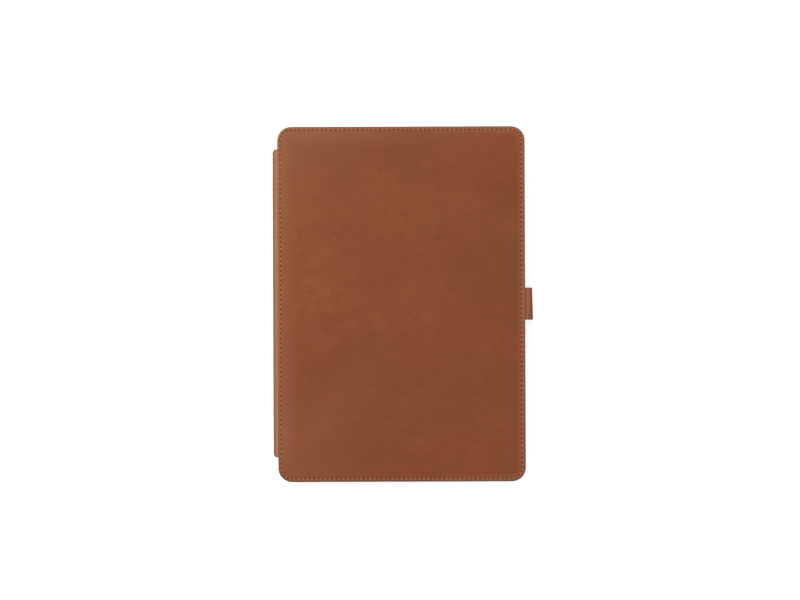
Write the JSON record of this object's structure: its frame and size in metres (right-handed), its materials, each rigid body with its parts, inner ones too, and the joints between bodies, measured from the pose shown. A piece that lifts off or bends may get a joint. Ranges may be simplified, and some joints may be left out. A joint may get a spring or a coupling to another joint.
{
  "type": "e-reader in folio cover",
  "caption": "Tablet-size electronic-paper reader held in a tray inside a tan leather folio with a hinged cover, spine strip and magnetic side tab.",
  "frame": {"origin": "centre of the back cover's resting face, folio closed and lying on its back", "axes": "+X towards the closure tab, +Y towards the top of the page, +Z out of the front cover"},
  "size_m": [0.1855, 0.254, 0.0142],
  "materials": {
    "cover_leather": "smooth tan leather, soft cloudy colour, satin",
    "spine_leather": "smooth lighter tan leather",
    "lining": "brown microfibre",
    "board": "grey-brown bookbinding board",
    "tray_plastic": "fine matte texture",
    "magnet": "nickel plated",
    "steel": "plain sheet steel",
    "shell_plastic": "soft-touch matte",
    "bezel_plastic": "soft-touch matte",
    "key_plastic": "satin",
    "gasket_foam": "closed-cell foam",
    "touch_glass": "matt anti-glare coating",
    "clear_guide": "clear acrylic",
    "paper_display": "matt grey electronic paper",
    "light_strip": "white film",
    "midframe_metal": "cast and machined",
    "flex_film": "amber polyimide",
    "circuit_board": "green solder mask",
    "chip_black": "moulded epoxy",
    "battery_foil": "laminated foil pouch"
  },
  "bodies": {
    "back_cover": {"back_cover_leather": "cover_leather", "back_cover_board": "board", "reader_tray": "tray_plastic", "closure_keeper": "steel", "spine_back_flange": "spine_leather"},
    "spine": {"spine_leather": "spine_leather", "spine_lining": "lining"},
    "front_cover": {"spine_front_flange": "spine_leather", "front_cover_leather": "cover_leather", "front_cover_board": "board", "front_cover_lining": "lining", "sleep_magnet": "magnet", "tab_anchor": "cover_leather"},
    "closure_tab": {"closure_tab": "cover_leather", "tab_lining": "lining", "tab_magnet": "magnet"},
    "reader": {"rear_shell": "shell_plastic", "midframe": "midframe_metal", "front_bezel": "bezel_plastic", "touch_gasket": "gasket_foam", "touch_glass": "touch_glass", "light_guide": "clear_guide", "light_bar": "light_strip", "epaper_display": "paper_display", "display_cable": "flex_film", "touch_cable": "flex_film", "main_board": "circuit_board", "processor": "chip_black", "memory_chip": "chip_black", "storage_chip": "chip_black", "power_chip": "chip_black", "radio_shield": "steel", "hall_sensor": "chip_black", "battery": "battery_foil", "battery_tape": "light_strip", "battery_lead": "chip_black", "link_cable": "flex_film", "antenna": "flex_film", "usb_board": "circuit_board", "usb_socket": "steel", "midframe_screws": "steel", "board_screws": "steel", "key_board": "circuit_board", "key_domes": "steel", "power_switch": "chip_black", "status_light": "clear_guide"},
    "power_button": {"power_button": "key_plastic"},
    "menu_key": {"menu_key": "key_plastic"},
    "previous_key": {"previous_key": "key_plastic"},
    "next_key": {"next_key": "key_plastic"},
    "home_key": {"home_key": "key_plastic"}
  },
  "joints": [
    {"name": "spine_fold", "type": "hinge", "parent": "back_cover", "child": "spine", "pos_m": [-0.0893, 0, 0.0017], "axis": [0, -1, 0], "range_deg": [0, 90]},
    {"name": "cover_fold", "type": "hinge", "parent": "spine", "child": "front_cover", "pos_m": [-0.0893, 0, 0.0125], "axis": [0, -1, 0], "range_deg": [0, 90]},
    {"name": "tab_swing", "type": "hinge", "parent": "front_cover", "child": "closure_tab", "pos_m": [0.0893, 0, 0.0125], "axis": [0, -1, 0], "range_deg": [0, 90]},
    {"name": "reader_slide", "type": "slide", "parent": "back_cover", "child": "reader", "axis": [0, 1, 0], "range_m": [0, 0.26]},
    {"name": "power_press", "type": "slide", "parent": "reader", "child": "power_button", "axis": [0, -1, 0], "range_m": [0, 0.0003], "stiffness_N_per_m": 1000, "springref_m": -0.0006},
    {"name": "menu_press", "type": "slide", "parent": "reader", "child": "menu_key", "axis": [0, 0, -1], "range_m": [0, 0.00025], "stiffness_N_per_m": 1000, "springref_m": -0.0006},
    {"name": "previous_press", "type": "slide", "parent": "reader", "child": "previous_key", "axis": [0, 0, -1], "range_m": [0, 0.00025], "stiffness_N_per_m": 1000, "springref_m": -0.0006},
    {"name": "next_press", "type": "slide", "parent": "reader", "child": "next_key", "axis": [0, 0, -1], "range_m": [0, 0.00025], "stiffness_N_per_m": 1000, "springref_m": -0.0006},
    {"name": "home_press", "type": "slide", "parent": "reader", "child": "home_key", "axis": [0, 0, -1], "range_m": [0, 0.00025], "stiffness_N_per_m": 1000, "springref_m": -0.0006}
  ]
}
